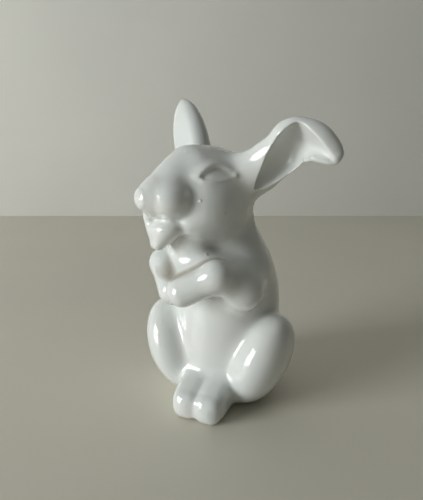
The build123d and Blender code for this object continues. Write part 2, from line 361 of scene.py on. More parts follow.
@dataclass
class Patch:
    """A part of the skin: corners in millimetres, triangles as corner numbers, and facts on each corner."""

    corners: Array
    faces: Array
    facts: Facts

    def kept(self, faces: Array) -> "Patch":
        """Keeps some triangles, with only the corners that they use.

        Args:
            faces: The triangles to keep.

        Returns:
            The smaller patch.
        """
        used, numbers = np.unique(faces, return_inverse=True)
        facts = {name: values[used] for name, values in self.facts.items()}
        return Patch(self.corners[used], numbers.reshape(faces.shape), facts)

    def cut(self, score: Array) -> tuple["Patch", "Patch"]:
        """Cuts the triangles along the line where a score changes sign.

        Args:
            score: One value for each corner, below zero on the side to take.

        Returns:
            The side taken, and the side left, which keeps every corner.
        """
        score = np.where(np.abs(score) < ON_LINE, -ON_LINE, score)
        inside = score[self.faces] < 0
        count = inside.sum(1)
        mixed = (count > 0) & (count < 3)
        tris, flags = self.faces[mixed], inside[mixed]
        lone_inside = flags.sum(1) == 1
        lone = np.where(lone_inside, flags.argmax(1), (~flags).argmax(1))
        tris = np.take_along_axis(tris, (lone[:, None] + np.arange(3)) % 3, 1)
        edges = np.concatenate([tris[:, [0, 1]], tris[:, [0, 2]]])
        keys, numbers = np.unique(np.sort(edges, 1), axis=0, return_inverse=True)
        start, end = keys[:, 0], keys[:, 1]
        share = (score[start] / (score[start] - score[end]))[:, None]

        def lengthened(values: Array) -> Array:
            """Adds the values on the line to those of the corners."""
            part = share if values.ndim == 2 else share[:, 0]
            return np.concatenate([values, values[start] * (1 - part) + values[end] * part])

        near, away = len(self.corners) + numbers.reshape(2, -1)
        tips = np.stack([tris[:, 0], near, away], 1)
        rests = np.concatenate([
            np.stack([near, tris[:, 1], tris[:, 2]], 1), np.stack([near, tris[:, 2], away], 1),
        ])
        twice = np.concatenate([lone_inside, lone_inside])
        mine = np.concatenate([self.faces[count == 3], tips[lone_inside], rests[~twice]])
        left = np.concatenate([self.faces[count == 0], tips[~lone_inside], rests[twice]])
        facts = {name: lengthened(values) for name, values in self.facts.items()}
        rest = Patch(lengthened(self.corners).astype(np.float32), left, facts)
        return rest.kept(mine), rest

    def loops(self) -> list[list[int]]:
        """Follows the open edges.

        Returns:
            Loops of corner numbers, each running against the triangles beside it.
        """
        held = {(int(a), int(b)) for a, b in edges_of(self.faces)}
        onward: dict[int, list[int]] = {}
        for a, b in sorted(held):
            if (b, a) not in held:
                onward.setdefault(b, []).append(a)
        loops = []
        while onward:
            start = next(iter(onward))
            loop = [start]
            here = start
            while True:
                after = onward[here].pop()
                if not onward[here]:
                    del onward[here]
                if after == start:
                    break
                loop.append(after)
                here = after
                if here not in onward:
                    break
            if len(loop) > 2:
                loops.append(loop)
        return loops

    def closed(self, depth: float) -> "Patch":
        """Closes the patch with caps sunk inside the rabbit, so that the casting is a whole body.

        Args:
            depth: How far the caps start below the surface, in millimetres.

        Returns:
            The closed patch.
        """
        points, tris = [self.corners], [self.faces]
        facts = {name: [values] for name, values in self.facts.items()}
        count = len(self.corners)
        for loop in self.loops():
            ids = np.array(loop)
            ring = self.corners[ids] - self.facts["normal"][ids] * np.float32(depth)
            points += [ring, ring.mean(0, keepdims=True)]
            size = len(ids)
            inner = count + np.arange(size)
            after = np.roll(np.arange(size), -1)
            tris.append(np.stack([ids, ids[after], inner[after]], 1))
            tris.append(np.stack([ids, inner[after], inner], 1))
            tris.append(np.stack([inner, inner[after], np.full(size, count + size)], 1))
            for name, values in self.facts.items():
                facts[name] += [values[ids], values[ids].mean(0, keepdims=True)]
            count += size + 1
        joined = {name: np.concatenate(parts) for name, parts in facts.items()}
        return Patch(np.concatenate(points), np.concatenate(tris), joined)


@dataclass
class Casting:
    """One casting of the rabbit: a form in millimetres, and the piece that is cut for it."""

    node: str
    ball: Ball

    def lumps(self, points: Array) -> Lumps:
        """Gives each lump of the casting as distances at some points and the reach of its fillet."""
        raise NotImplementedError

    def join(self, whole: Array, points: Array) -> tuple[Array, Array]:
        """Adds the casting to a distance field.

        Args:
            whole: Distances to what is there already.
            points: Where they were measured.

        Returns:
            The joined distances, and the distances to this casting alone.
        """
        middle, reach = self.ball
        alone = length(points - row(*middle)) - reach
        near = np.where(alone < FAR)[0]
        joined = np.minimum(whole, alone)
        joined[near] = whole[near]
        if len(near):
            close = points[near]
            best = np.full(len(near), VAST, np.float32)
            for lump, blend in self.lumps(close):
                joined[near] = soft_join(joined[near], lump, blend)
                best = np.minimum(best, lump)
            alone[near] = best
        return joined.astype(np.float32), alone.astype(np.float32)

    def build(self, patch: Patch) -> bpy.types.Object:
        """Makes the casting's mesh from its share of the skin.

        Args:
            patch: The closed patch, with the normals and the values that the glaze reads.

        Returns:
            The new object, linked to the scene.
        """
        mesh = bpy.data.meshes.new(self.node + "_skin")
        mesh.from_pydata((patch.corners * MILLIMETRE).tolist(), [], patch.faces.tolist())
        mesh.polygons.foreach_set("use_smooth", np.ones(len(mesh.polygons), bool))
        # Stores the mask of the painted crease shade and the mask of the bare clay
        for name in ("crease_shade", "bare"):
            layer = mesh.attributes.new(name, "FLOAT", "POINT")
            layer.data.foreach_set("value", patch.facts[name].astype(np.float32))
        mesh.normals_split_custom_set_from_vertices(patch.facts["normal"].tolist())
        mesh.update()
        return set_down("porcelain_" + self.node, mesh)

    def dress(self, piece: bpy.types.Object, finish: bpy.types.Material) -> None:
        """Gives the piece its finish and ties it to the frame.

        Args:
            piece: The casting's own object.
            finish: The glaze.
        """
        piece.data.materials.append(finish)
        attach(piece, "root")
        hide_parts(self.node)


# The body in millimetres: how far its middle stands off the frame's, and its height, width and depth
HIP_SHIFT = -1.4
BODY_HEIGHT = 86.0
BODY_WIDTH = 44.4
BODY_DEPTH = 43.6
CHEST = Space((HIP_SHIFT + 0.005 * BODY_WIDTH, 0.087 * BODY_DEPTH, 0.0), 18.0)
SKULL = Space((HIP_SHIFT - 0.101 * BODY_WIDTH, -0.183 * BODY_DEPTH, 0.977 * BODY_HEIGHT), 30.0)


def of_body(share: Triple, side: int = 1) -> Triple:
    """Turns shares of the body's width, depth and height into millimetres."""
    return (side * share[0] * BODY_WIDTH, share[1] * BODY_DEPTH, share[2] * BODY_HEIGHT)


@dataclass
class Torso(Casting):
    """Pear-shaped body with the breast and the neck."""

    node: str = "torso_shell"
    ball: Ball = ((HIP_SHIFT, 3.0, 42.0), 54.0)
    # Shares: height, shift to the left, shift back, width, depth
    rows: Rows = (
        (0.000, 0.000, 0.101, 0.840, 0.840),
        (0.093, 0.000, 0.115, 1.020, 1.030),
        (0.233, 0.000, 0.115, 1.050, 1.050),
        (0.395, 0.009, 0.115, 1.000, 1.020),
        (0.558, 0.018, 0.124, 0.920, 0.960),
        (0.698, 0.009, 0.096, 0.775, 0.810),
        (0.814, -0.018, 0.046, 0.625, 0.645),
        (0.907, -0.041, 0.011, 0.540, 0.555),
        (1.000, -0.063, -0.080, 0.430, 0.360),
    )
    # Middle, as shares of the body's width, depth and height in the chest's space, and half sizes
    breast: Triple = (-0.025, 0.344, 0.669)
    breast_half: Triple = (19.0, 17.0, 7.5)
    breast_blend: float = 3.0
    # A point, as forward and up, of the flat that slants at 45 degrees over the breast
    slope: Pair = (21.5, 65.0)
    slope_blend: float = 2.5
    blend: float = 0.5

    def __post_init__(self) -> None:
        """Works the loft of the body out."""
        wide, deep = BODY_WIDTH / 2, BODY_DEPTH / 2
        self.loft = Loft(tuple(
            (z * BODY_HEIGHT, HIP_SHIFT + x * BODY_WIDTH, y * BODY_DEPTH, w * wide, d * deep)
            for z, x, y, w, d in self.rows
        ))

    def lumps(self, points: Array) -> Lumps:
        """Gives the body with its breast as one lump.

        Args:
            points: Where to measure, in millimetres.

        Returns:
            Distances and the reach of the fillet.
        """
        body = self.loft.distance(points[:, 2], points[:, 0], points[:, 1])
        local = CHEST.enter(points)
        breast = ellipsoid(local, of_body(self.breast), self.breast_half)
        ahead = (local[:, 1] - self.slope[0] + local[:, 2] - self.slope[1]) * np.float32(math.sqrt(0.5))
        breast = soft_cut(breast, ahead, self.slope_blend)
        yield soft_join(body, breast, self.breast_blend), self.blend


@dataclass
class Head(Casting):
    """Skull, cheeks, muzzle and the two laughing eyes."""

    node: str = "head_shell"
    ball: Ball = ((-8.0, -10.0, 84.0), 34.0)
    # Width, length and height
    size: Triple = (31.2, 46.6, 34.8)
    # Shares: place along the head, rise, width, height
    rows: Rows = (
        (-0.416, 0.129, 0.130, 0.120),
        (-0.365, 0.121, 0.510, 0.490),
        (-0.236, 0.055, 0.850, 0.830),
        (-0.064, 0.040, 1.000, 0.995),
        (0.086, 0.055, 0.985, 0.990),
        (0.180, 0.100, 0.870, 0.885),
        (0.290, 0.115, 0.620, 0.700),
        (0.400, 0.080, 0.520, 0.540),
        (0.460, 0.060, 0.440, 0.440),
        (0.510, 0.052, 0.350, 0.360),
        (0.545, 0.048, 0.260, 0.275),
        (0.580, 0.042, 0.120, 0.140),
    )
    # Middle and half sizes as left, forward and up, and the fillet
    throat: Lump = ((0.0, 6.3, -14.5), (8.2, 9.0, 8.5), 4.0)
    cheek: Lump = ((8.2, 3.0, -3.8), (8.0, 10.6, 9.2), 8.0)
    jowl: Lump = ((7.6, 8.4, -7.8), (5.2, 7.0, 5.2), 4.0)
    pad: Lump = ((5.3, 17.4, 0.8), (6.6, 7.3, 6.7), 3.4)
    nose: Lump = ((0.0, 21.1, 1.0), (6.4, 7.8, 5.4), 3.4)
    lip: Lump = ((0.4, 22.3, -3.2), (2.8, 2.8, 2.9), 2.0)
    # Start, handle and end of a line as forward and up, how deep it is sunk or less than zero if it is
    # raised, and its width
    brow: EyeLine = (((10.8, 9.0), (3.8, 16.6), (-1.8, 9.4)), -0.75, 1.3)
    lower_lid: EyeLine = (((9.9, 7.3), (4.6, 6.3), (-2.3, 8.5)), -0.40, 0.8)
    slit: EyeLine = (((8.6, 9.2), (4.6, 11.8), (-0.9, 9.6)), 0.62, 1.35)
    blend: float = 11.0

    def __post_init__(self) -> None:
        """Works the loft of the skull and muzzle out."""
        width, long, high = self.size
        self.loft = Loft(tuple(
            (f * long, 0.0, rise * high, w * width / 2, h * high / 2) for f, rise, w, h in self.rows
        ))

    def lumps(self, points: Array) -> Lumps:
        """Gives the whole head, with its closed eyes, as one lump.

        Args:
            points: Where to measure, in millimetres.

        Returns:
            Distances and the reach of the fillet.
        """
        local = SKULL.enter(points)
        sides = (local, local * row(-1, 1, 1))
        form = self.loft.distance(local[:, 1], local[:, 0], local[:, 2])
        form = add_lump(form, local, self.throat)
        for half in sides:
            form = add_lump(form, half, self.cheek)
        for half in sides:
            form = add_lump(form, half, self.jowl)
            form = add_lump(form, half, self.pad)
        for lump in (self.nose, self.lip):
            form = add_lump(form, local, lump)
        for half in sides:
            for line, sink, width in (self.brow, self.lower_lid, self.slit):
                form = form + sink * relief(half, line, width)
        yield form, self.blend


@dataclass
class Jaw(Casting):
    """Dropped lower jaw: a curved wedge with the groove of the mouth and the lip on its far side."""

    node: str = "lower_jaw"
    ball: Ball = ((-15.0, -22.0, 70.0), 16.0)
    lip_level: float = -8.2
    depth: float = 10.0
    # Share of the depth below the lip, place along the head, half width, half length
    rows: Rows = (
        (-0.45, 14.0, 9.0, 9.0),
        (0.00, 14.4, 9.2, 9.2),
        (0.31, 16.0, 7.8, 7.6),
        (0.61, 18.8, 5.0, 4.6),
        (0.86, 20.6, 2.8, 2.6),
        (1.00, 20.9, 1.4, 1.3),
    )
    power: float = 2.4
    end_blend: float = 1.5
    # A point of the flat that ends the jaw towards the throat, and the way into the jaw
    back_point: Pair = (13.6, -8.2)
    back_normal: Pair = (0.90, 0.43)
    back_blend: float = 1.0
    # Start, handle and end
    far_lip: tuple[Triple, ...] = ((-3.6, 21.9, -4.1), (-4.1, 22.3, -7.2), (-2.6, 19.9, -11.6))
    far_lip_radius: float = 2.4
    far_lip_blend: float = 2.5
    mouth_level: float = -6.6
    mouth_half: float = 1.7
    mouth_depth: float = 2.4
    # From the mouth's corner to here along the head the fillet narrows
    corner: Pair = (13.5, 17.5)
    corner_blend: float = 5.0
    lip_blend: float = 2.0

    def __post_init__(self) -> None:
        """Works the loft of the wedge out."""
        self.loft = Loft(tuple(
            (drop * self.depth - self.lip_level, 0.0, f, w, d) for drop, f, w, d in self.rows
        ), self.end_blend, self.power)

    def lumps(self, points: Array) -> Lumps:
        """Gives the jaw as one lump, with a wider fillet at the mouth's corner than at the lip.

        Args:
            points: Where to measure, in millimetres.

        Returns:
            Distances and the reach of the fillet.
        """
        local = SKULL.enter(points)
        wedge = self.loft.distance(-local[:, 2], local[:, 0], local[:, 1])
        forward = local[:, 1] - self.back_point[0]
        up = local[:, 2] - self.back_point[1]
        back = -(forward * self.back_normal[0] + up * self.back_normal[1])
        wedge = soft_cut(wedge, back.astype(np.float32), self.back_blend)
        groove = np.exp(-(((local[:, 2] - self.mouth_level) / self.mouth_half) ** 2))
        wedge = wedge + self.mouth_depth * groove
        far_lip = thread(local, self.far_lip, self.far_lip_radius)
        blend = np.interp(local[:, 1], self.corner, (self.corner_blend, self.lip_blend))
        yield soft_join(wedge, far_lip, self.far_lip_blend), blend


def ear_axes(along: Array, face: Triple) -> Array:
    """Sets up an ear's own axes.

    Args:
        along: Direction along the ear.
        face: Rough direction out of its hollow.

    Returns:
        Columns for along, across and out of the hollow.
    """
    first = along / np.linalg.norm(along)
    out = np.array(face, float)
    out = out - first * (first @ out)
    out = out / np.linalg.norm(out)
    return np.stack([first, np.cross(out, first), out], 1)


@dataclass
class UprightEar(Casting):
    """Right ear: a blade that stands up, with a shallow hollow in front."""

    node: str = "right_ear"
    ball: Ball = ((-25.0, -10.0, 106.0), 25.0)
    # Length, width and thickness
    size: Triple = (37.0, 17.0, 13.0)
    root: Triple = (-13.10, -6.60, 4.20)
    along: Triple = (-0.446, -0.08, 0.892)
    face: Triple = (0.2, 1.0, 0.0)
    # Shares: place along the ear, width, thickness
    rows: Rows = (
        (-0.06, 0.66, 0.80),
        (0.17, 0.87, 0.98),
        (0.38, 1.00, 1.00),
        (0.58, 0.97, 0.92),
        (0.77, 0.79, 0.74),
        (0.90, 0.53, 0.50),
        (0.96, 0.30, 0.30),
        (1.00, 0.10, 0.12),
    )
    # Middle and half sizes of the hollow, as shares of the ear's
    hollow: Triple = (0.52, 0.0, 0.57)
    hollow_half: Triple = (0.42, 0.34, 0.22)
    hollow_blend: float = 4.0
    blend: float = 6.0

    def __post_init__(self) -> None:
        """Works the blade's loft and axes out."""
        long, wide, thick = self.size
        self.axes = ear_axes(np.array(self.along), self.face).astype(np.float32)
        self.loft = Loft(tuple((s * long, 0.0, 0.0, w * wide / 2, t * thick / 2) for s, w, t in self.rows))

    def lumps(self, points: Array) -> Lumps:
        """Gives the hollowed blade as one lump.

        Args:
            points: Where to measure, in millimetres.

        Returns:
            Distances and the reach of the fillet.
        """
        local = (SKULL.enter(points) - row(*self.root)) @ self.axes
        blade = self.loft.distance(local[:, 0], local[:, 1], local[:, 2])
        middle = tuple(share * size for share, size in zip(self.hollow, self.size))
        half = tuple(share * size for share, size in zip(self.hollow_half, self.size))
        yield soft_cut(blade, -ellipsoid(local, middle, half), self.hollow_blend), self.blend


@dataclass
class SweptEar(Casting):
    """Left ear: swept out and back like a gutter, with its tip bent down."""

    node: str = "left_ear"
    ball: Ball = ((16.0, 4.0, 97.0), 34.0)
    # Length of the line's shares, width and thickness
    size: Triple = (45.0, 18.4, 12.6)
    root: Triple = (8.11, -11.0, 3.13)
    face: Triple = (0.90, 0.50, -0.30)
    # Middle line from the root, as shares of the length to the left, forward and up
    line: tuple[Triple, ...] = (
        (0.000, 0.000, 0.000),
        (0.156, -0.044, 0.133),
        (0.333, -0.100, 0.285),
        (0.500, -0.156, 0.380),
        (0.626, -0.204, 0.375),
        (0.722, -0.240, 0.312),
        (0.788, -0.260, 0.235),
    )
    # Shares: place along the ear, width, thickness, shift to the lower edge
    rows: Rows = (
        (0.00, 0.45, 0.45, -0.02),
        (0.09, 0.76, 0.76, -0.03),
        (0.18, 0.92, 0.95, -0.04),
        (0.34, 0.88, 1.00, 0.00),
        (0.48, 0.87, 1.00, 0.02),
        (0.60, 0.91, 1.00, -0.040),
        (0.72, 0.79, 0.92, -0.005),
        (0.85, 0.60, 0.70, 0.03),
        (0.93, 0.46, 0.46, 0.03),
        (0.98, 0.28, 0.28, 0.02),
        (1.00, 0.10, 0.10, 0.02),
    )
    hollow_rows: Rows = (
        (0.12, 0.10, 0.20, -0.04),
        (0.20, 0.28, 0.54, -0.01),
        (0.32, 0.52, 0.94, 0.03),
        (0.46, 0.72, 1.24, 0.01),
        (0.60, 0.76, 1.43, -0.090),
        (0.72, 0.76, 1.40, -0.135),
        (0.80, 0.74, 1.22, -0.165),
        (0.90, 0.62, 1.00, -0.15),
        (1.00, 0.50, 0.80, -0.10),
    )
    hollow_out: float = 0.40
    hollow_lean: float = 16.0
    # A point of the flat that ends the hollow below the folded tip, and the way it faces
    ridge: Triple = (38.9, -18.1, 19.85)
    ridge_normal: Triple = (0.273, -0.742, 0.613)
    ridge_blend: float = 3.0
    edge_blend: float = 1.0
    blend: float = 11.0
    knots: int = 241
    coarse_step: int = 8
    tries: int = 7
    least_stretch: float = 0.35
    end_play: float = 0.02

    def __post_init__(self) -> None:
        """Works the ear's line and the axes along it out."""
        marks = np.array(self.line) * self.size[0] + np.array(self.root)
        runs = np.r_[0, np.cumsum(np.linalg.norm(np.diff(marks, axis=0), axis=1))]
        places = np.linspace(0, runs[-1], self.knots)
        self.path = np.stack([smooth_through(places, runs, marks[:, i]) for i in range(3)], 1)
        self.shares = places / runs[-1]
        steps = np.gradient(self.path, axis=0)
        self.axes = np.stack([ear_axes(step, self.face) for step in steps])
        self.bend = np.gradient(self.axes[:, :, 0], self.shares * runs[-1], axis=0)
        self.run = runs[-1]

    def follow(self, local: Array) -> tuple[Array, Array]:
        """Finds where each point lies along the ear.

        Args:
            local: Points in the head's space.

        Returns:
            The share of the way along the ear, and the point in the ear's axes there.
        """
        coarse = self.path[:: self.coarse_step]
        gaps = ((local[:, None, :] - coarse[None]) ** 2).sum(-1)
        share = self.shares[:: self.coarse_step][gaps.argmin(1)]
        for _ in range(self.tries):
            offset = local - self.at(share, self.path)
            along = self.at(share, self.axes[:, :, 0])
            miss = (offset * along).sum(-1) / self.run
            stretch = 1.0 - (offset * self.at(share, self.bend)).sum(-1)
            share = np.clip(share + miss / np.maximum(stretch, self.least_stretch), 0.0, 1.0)
        offset = local - self.at(share, self.path)
        parts = [(offset * self.at(share, self.axes[:, :, i])).sum(-1) for i in range(3)]
        return share, np.stack(parts, 1).astype(np.float32)

    def at(self, share: Array, table: Array) -> Array:
        """Reads a table of vectors at places along the ear."""
        return np.stack([np.interp(share, self.shares, table[:, i]) for i in range(3)], 1)

    def tube(self, place: Array, across: Array, rows: Rows, out: float, lean: float = 0.0) -> Array:
        """Measures the distance to ovals swept along the ear.

        Args:
            place: Shares of the way along the ear.
            across: Points in the ear's axes.
            rows: Place along the ear, shares of the width and the thickness, shift to the lower edge.
            out: Shift of the ovals out of the hollow.
            lean: Turn of the ovals towards the lower edge, in degrees.

        Returns:
            One distance for each point.
        """
        table = np.array(rows, float)
        wide = smooth_through(self.shares, table[:, 0], table[:, 1]) * self.size[1] / 2
        thick = smooth_through(self.shares, table[:, 0], table[:, 2]) * self.size[2] / 2
        low = smooth_through(self.shares, table[:, 0], table[:, 3]) * self.size[1]
        half_u = np.interp(place, self.shares, np.maximum(wide, THINNEST)).astype(np.float32)
        half_v = np.interp(place, self.shares, np.maximum(thick, THINNEST)).astype(np.float32)
        down = np.interp(place, self.shares, low)
        taper = np.interp(place, self.shares, np.gradient(0.5 * (wide + thick), self.shares * self.run))
        turn = math.radians(lean)
        u = across[:, 1] * math.cos(turn) - across[:, 2] * math.sin(turn) - down
        v = across[:, 1] * math.sin(turn) + across[:, 2] * math.cos(turn) - out
        side = section(u, v, half_u, half_v) / np.sqrt(1 + taper**2)
        past = np.maximum(table[0, 0] - place, place - table[-1, 0]) * self.run
        past = np.maximum(past, np.abs(across[:, 0]))
        beyond = np.sqrt(np.maximum(side, 0) ** 2 + past**2)
        return np.where(past > self.end_play, beyond, side).astype(np.float32)

    def lumps(self, points: Array) -> Lumps:
        """Gives the hollowed ear as one lump.

        Args:
            points: Where to measure, in millimetres.

        Returns:
            Distances and the reach of the fillet.
        """
        local = SKULL.enter(points)
        place, across = self.follow(local)
        outside = self.tube(place, across, self.rows, 0.0)
        out = self.hollow_out * self.size[2]
        hollow = self.tube(place, across, self.hollow_rows, out, self.hollow_lean)
        end = (local - row(*self.ridge)) @ row(*self.ridge_normal)
        hollow = soft_cut(hollow, end, self.ridge_blend)
        yield soft_cut(outside, -hollow, self.edge_blend), self.blend


@dataclass
class Arm(Casting):
    """One arm: a soft upper arm against the chest, a forearm and a drooping paw."""

    node: str = "left_arm"
    ball: Ball = ((14.0, -8.0, 54.0), 30.0)
    side: Side = Side.LEFT
    # Shares of the body's width, depth and height, in the chest's space
    shoulder: Triple = (0.254, 0.073, 0.625)
    elbow: Triple = (0.395, 0.275, 0.585)
    wrist: Triple = (0.327, 0.532, 0.669)
    paw: Triple = (0.098, 0.690, 0.594)
    # At the shoulder, the elbow, the wrist and the paw
    radii: tuple[float, ...] = (8.6, 6.6, 5.6, 5.7)
    shoulder_blend: float = 10.0
    elbow_blend: float = 8.0
    paw_blend: float = 1.8
    bend_blend: float = 4.0

    def lumps(self, points: Array) -> Lumps:
        """Gives the upper arm, then the forearm with its paw.

        Args:
            points: Where to measure, in millimetres.

        Returns:
            Distances and the reach of the fillet.
        """
        local = CHEST.enter(points)
        joints = (self.shoulder, self.elbow, self.wrist, self.paw)
        shoulder, elbow, wrist, paw = (of_body(joint, self.side.value) for joint in joints)
        first, second, third, last = self.radii
        yield limb(local, shoulder, elbow, first, second), self.shoulder_blend
        forearm = limb(local, elbow, wrist, second, third)
        blend = np.interp(local[:, 1], (elbow[1], wrist[1]), (self.elbow_blend, self.paw_blend))
        yield soft_join(forearm, limb(local, wrist, paw, third, last), self.bend_blend), blend


@dataclass
class Haunch(Casting):
    """One thigh, leaning out and back."""

    node: str = "left_haunch"
    ball: Ball = ((18.0, -5.0, 19.0), 22.0)
    side: Side = Side.LEFT
    # A share of the body's width, then millimetres
    middle: Triple = (0.435, -5.5, 19.0)
    half: Triple = (10.8, 15.0, 20.0)
    # Degrees about the frame's first axis, then the second
    pitch: float = -7.0
    roll: float = 23.0
    blend: float = 7.0

    def lumps(self, points: Array) -> Lumps:
        """Gives the thigh as one lump.

        Args:
            points: Where to measure, in millimetres.

        Returns:
            Distances and the reach of the fillet.
        """
        pitch, roll = math.radians(self.pitch), math.radians(self.roll)
        about_x = np.array([
            [1, 0, 0], [0, math.cos(pitch), -math.sin(pitch)], [0, math.sin(pitch), math.cos(pitch)],
        ])
        about_y = np.array([
            [math.cos(roll), 0, math.sin(roll)], [0, 1, 0], [-math.sin(roll), 0, math.cos(roll)],
        ])
        local = (points - row(HIP_SHIFT, 0, 0)) * row(self.side.value, 1, 1)
        middle = (self.middle[0] * BODY_WIDTH, self.middle[1], self.middle[2])
        yield ellipsoid(local, middle, self.half, about_x @ about_y), self.blend


@dataclass
class Foot(Casting):
    """One hind foot, lying forward from under the belly."""

    node: str = "left_foot"
    ball: Ball = ((5.5, -20.0, 7.0), 18.0)
    side: Side = Side.LEFT
    shift: float = -0.6
    length: float = 31.4
    width: float = 10.8
    height: float = 15.6
    # Shares: place along the foot, shift aside, rise, width, height
    rows: Rows = (
        (0.18, 0.46, 0.54, 1.10, 1.05),
        (0.42, 0.46, 0.49, 1.14, 1.00),
        (0.66, 0.46, 0.42, 1.10, 0.87),
        (0.84, 0.46, 0.37, 1.01, 0.74),
        (0.95, 0.44, 0.34, 0.76, 0.58),
        (1.00, 0.43, 0.33, 0.36, 0.30),
    )
    power: float = 2.8
    end_blend: float = 1.5
    blend: float = 5.0

    def __post_init__(self) -> None:
        """Works the foot's loft out."""
        self.loft = Loft(tuple(
            (s * self.length, x * self.width, z * self.height, w * self.width / 2, h * self.height / 2)
            for s, x, z, w, h in self.rows
        ), self.end_blend, self.power)

    def lumps(self, points: Array) -> Lumps:
        """Gives the foot as one lump."""
        local = (points - row(self.shift, 0, 0)) * row(self.side.value, -1, 1)
        yield self.loft.distance(local[:, 1], local[:, 0], local[:, 2]), self.blend


@dataclass
class Tail(Casting):
    """Small round tail at the rump."""

    node: str = "tail"
    ball: Ball = ((HIP_SHIFT, 25.0, 12.0), 9.0)
    middle: Triple = (HIP_SHIFT, 25.3, 12.0)
    half: Triple = (7.0, 6.0, 8.0)
    blend: float = 3.0

    def lumps(self, points: Array) -> Lumps:
        """Gives the tail as one lump."""
        yield ellipsoid(points, self.middle, self.half), self.blend


@dataclass
class BasePlate:
    """Bare clay disc that closes the underside, with the vent of a hollow casting."""

    node: str = "base_plate"
    middle: Pair = (HIP_SHIFT, 4.4)
    half: Pair = (15.55, 15.21)
    vent: float = 2.5
    # Share of the way from the vent to the rim, and height, from the vent's top to the rim's
    profile: Rows = (
        (0.0, 3.0), (0.0, 0.8), (0.004, 0.45), (0.02, 0.3), (0.25, 0.55), (0.6, 0.5),
        (0.9, 0.3), (0.975, 0.3), (0.993, 0.45), (1.0, 0.8), (1.0, 3.0),
    )
    corners: int = 96
    sharp_angle: float = 40.0

    def build(self) -> bpy.types.Object:
        """Makes the disc as one closed mesh.

        Returns:
            The new object, linked to the scene.
        """
        centre = np.array([self.middle[0], self.middle[1] + self.half[1] / 2])
        turns = np.linspace(0, 2 * math.pi, self.corners, endpoint=False)
        circle = np.stack([np.cos(turns), np.sin(turns)], 1)
        rim = circle * np.array(self.half) + np.array(self.middle)
        hole = circle * self.vent + centre
        points = []
        for share, height in self.profile:
            flat = hole * (1 - share) + rim * share
            points.append(np.c_[flat, np.full(self.corners, height)])
        faces = []
        for ring in range(len(points)):
            here = ring * self.corners
            after = (ring + 1) % len(points) * self.corners
            for i in range(self.corners):
                j = (i + 1) % self.corners
                faces.append((here + i, here + j, after + j, after + i))
        mesh = bpy.data.meshes.new(self.node + "_disc")
        mesh.from_pydata((np.concatenate(points) * MILLIMETRE).tolist(), [], faces)
        mesh.polygons.foreach_set("use_smooth", np.ones(len(mesh.polygons), bool))
        mesh.set_sharp_from_angle(angle=math.radians(self.sharp_angle))
        mesh.update()
        return set_down("clay_" + self.node, mesh)

    def dress(self, piece: bpy.types.Object, finish: bpy.types.Material) -> None:
        """Gives the disc its finish and ties it to the frame.

        Args:
            piece: The disc.
            finish: The bare clay.
        """
        piece.data.materials.append(finish)
        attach(piece, "root")
        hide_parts(self.node)


